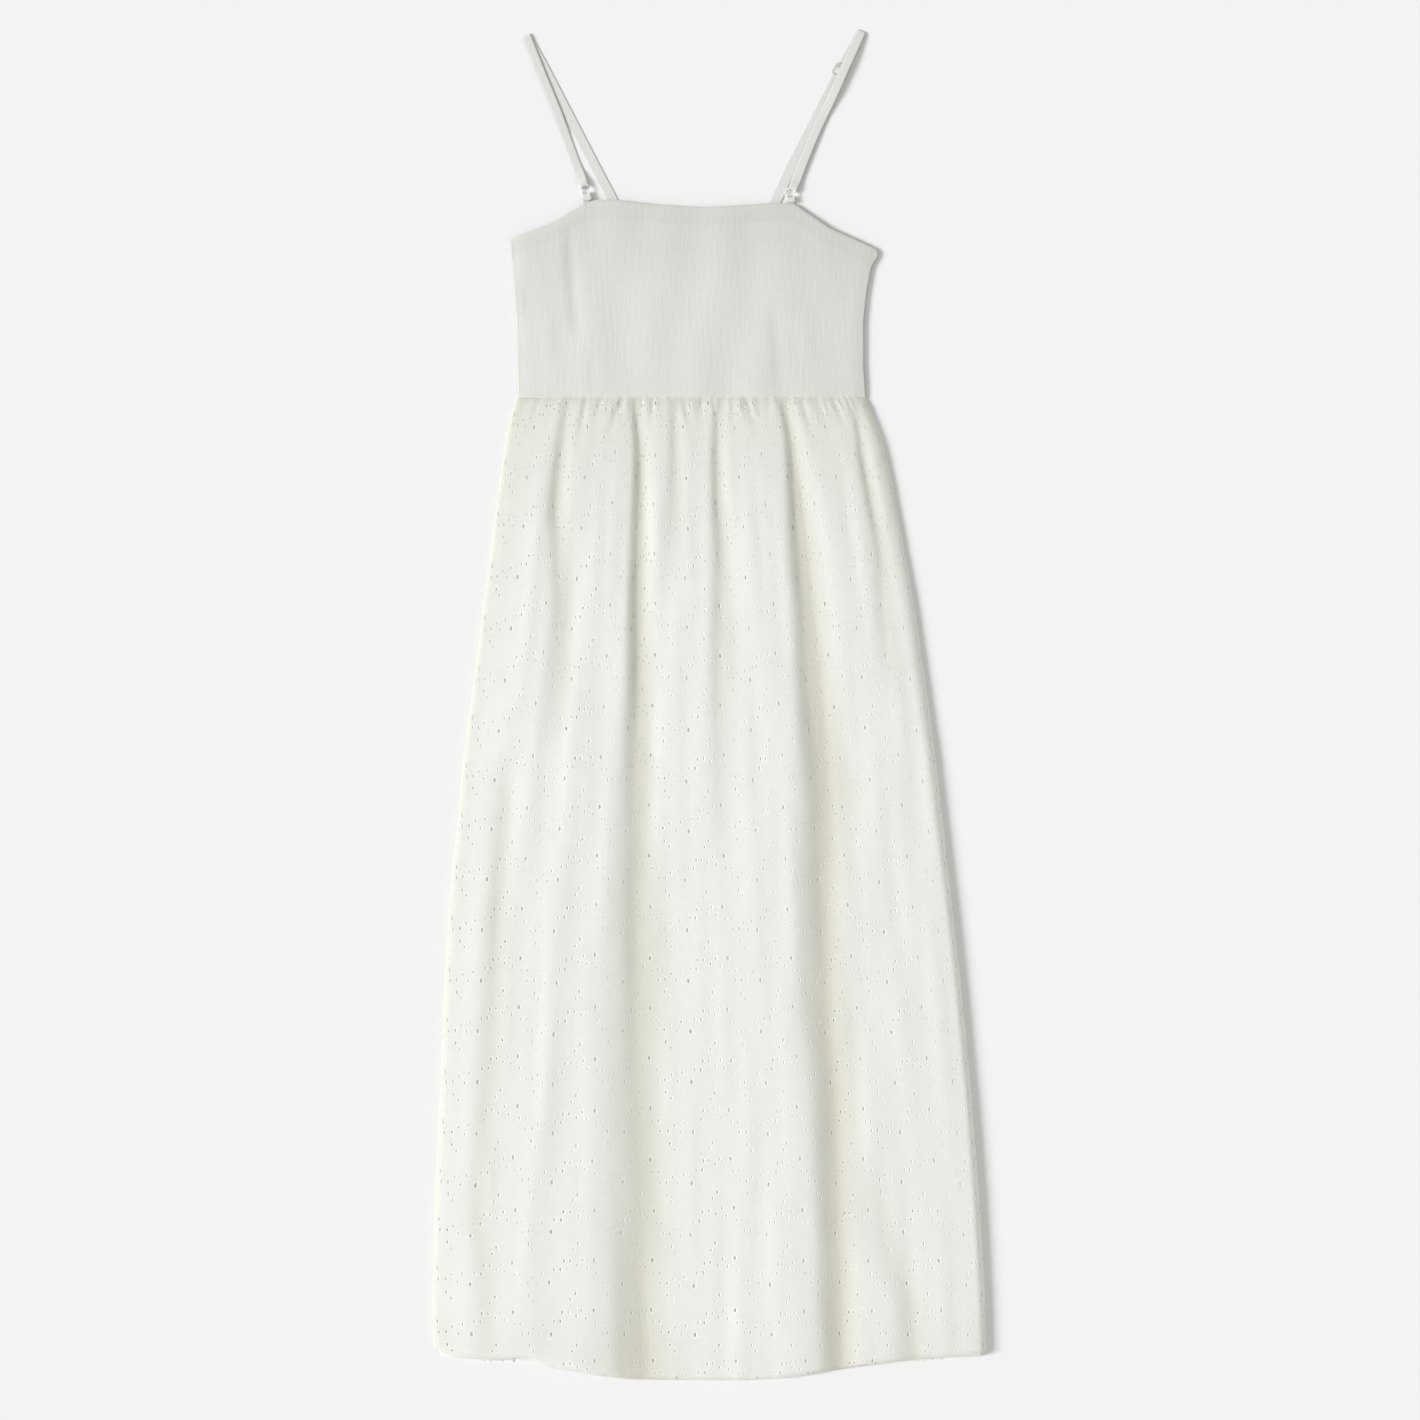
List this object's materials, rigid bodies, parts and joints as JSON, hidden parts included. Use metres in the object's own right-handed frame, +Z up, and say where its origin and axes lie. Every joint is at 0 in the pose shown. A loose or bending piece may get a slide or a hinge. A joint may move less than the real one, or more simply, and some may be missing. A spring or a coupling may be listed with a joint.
{
  "type": "broderie anglaise dress",
  "caption": "Strappy midi dress laid flat, front up: shirred bodice, gathered skirt in eyelet-embroidered white cotton, thin straps on small rings.",
  "frame": {"origin": "on the surface that the dress lies on, under the middle of its overall box", "axes": "+X to the right of the front as laid, +Y from the hem to the straps, +Z up off the surface"},
  "size_m": [0.5104, 1.2448, 0.0095],
  "materials": {
    "broderie_cotton": "matt plain-weave cotton with stitched eyelets",
    "shirred_cotton": "matt cotton crinkled by elastic shirring",
    "strap_cotton": "matt woven strap",
    "white_plastic": "smooth white"
  },
  "bodies": {
    "root": {"skirt_front": "broderie_cotton", "skirt_back": "broderie_cotton", "bodice_front": "shirred_cotton", "bodice_back": "shirred_cotton", "strap_left": "strap_cotton", "strap_right": "strap_cotton", "strap_tab_left": "strap_cotton", "strap_tab_right": "strap_cotton", "ring_left": "white_plastic", "ring_right": "white_plastic", "slider_right": "white_plastic"}
  },
  "joints": []
}
